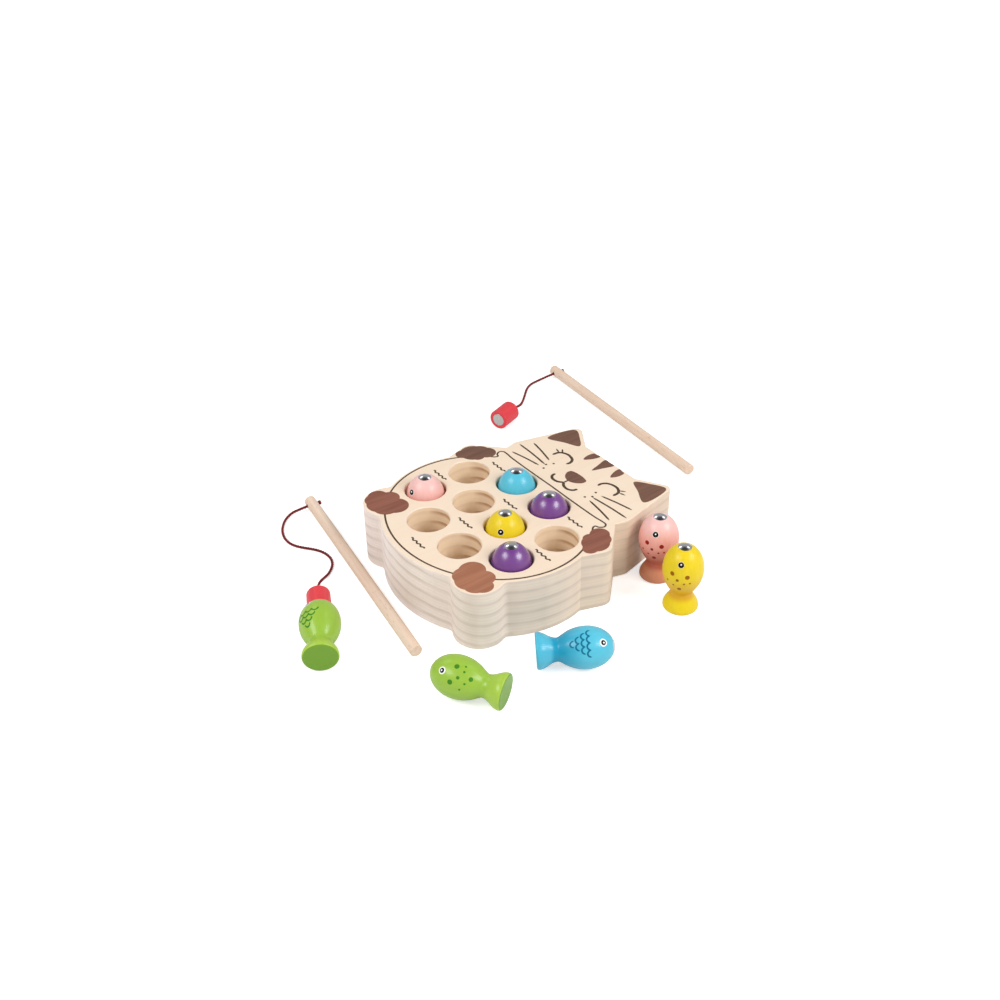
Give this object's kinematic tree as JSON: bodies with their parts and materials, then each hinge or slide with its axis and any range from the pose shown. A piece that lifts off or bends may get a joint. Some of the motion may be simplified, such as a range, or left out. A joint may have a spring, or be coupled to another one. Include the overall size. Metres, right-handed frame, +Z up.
{
  "type": "wooden magnetic fishing game",
  "caption": "Wooden magnetic fishing game: a sleeping-cat pine block with round holes, painted turned fish with steel noses, and dowel rods with red magnet holders on cords.",
  "frame": {"origin": "on the underside of the block, below the middle of the hole pattern", "axes": "+Z up out of the holes, +Y towards the cat's head, +X towards the flank where most of the loose fish lie"},
  "size_m": [0.3161, 0.3583, 0.054],
  "materials": {
    "bare_pine": "bare sanded pine with burnt lines and stained patches",
    "bare_beech": "bare sanded beech dowel",
    "pink_paint": "glossy pink paint on turned wood",
    "blue_paint": "glossy blue paint on turned wood",
    "purple_paint": "glossy purple paint on turned wood",
    "yellow_paint": "glossy yellow paint on turned wood",
    "green_paint": "glossy green paint on turned wood",
    "red_paint": "satin red paint on turned wood",
    "tack_steel": "bright plated steel",
    "magnet_nickel": "nickel-plated magnet",
    "cord_red": "twisted red cord"
  },
  "bodies": {
    "root": {"blue_fish_lying": "blue_paint", "blue_fish_lying_tack": "tack_steel", "blue_fish_seated": "blue_paint", "blue_fish_seated_tack": "tack_steel", "cat_block": "bare_pine", "first_cord": "cord_red", "first_holder": "red_paint", "first_knot": "cord_red", "first_magnet": "magnet_nickel", "first_rod": "bare_beech", "green_fish_caught": "green_paint", "green_fish_caught_tack": "tack_steel", "green_fish_lying": "green_paint", "green_fish_lying_tack": "tack_steel", "pink_fish_seated": "pink_paint", "pink_fish_seated_tack": "tack_steel", "pink_fish_standing": "pink_paint", "pink_fish_standing_tack": "tack_steel", "purple_fish_seated_head": "purple_paint", "purple_fish_seated_head_tack": "tack_steel", "purple_fish_seated_side": "purple_paint", "purple_fish_seated_side_tack": "tack_steel", "second_cord": "cord_red", "second_holder": "red_paint", "second_knot": "cord_red", "second_magnet": "magnet_nickel", "second_rod": "bare_beech", "yellow_fish_seated": "yellow_paint", "yellow_fish_seated_tack": "tack_steel", "yellow_fish_standing": "yellow_paint", "yellow_fish_standing_tack": "tack_steel"}
  },
  "joints": []
}
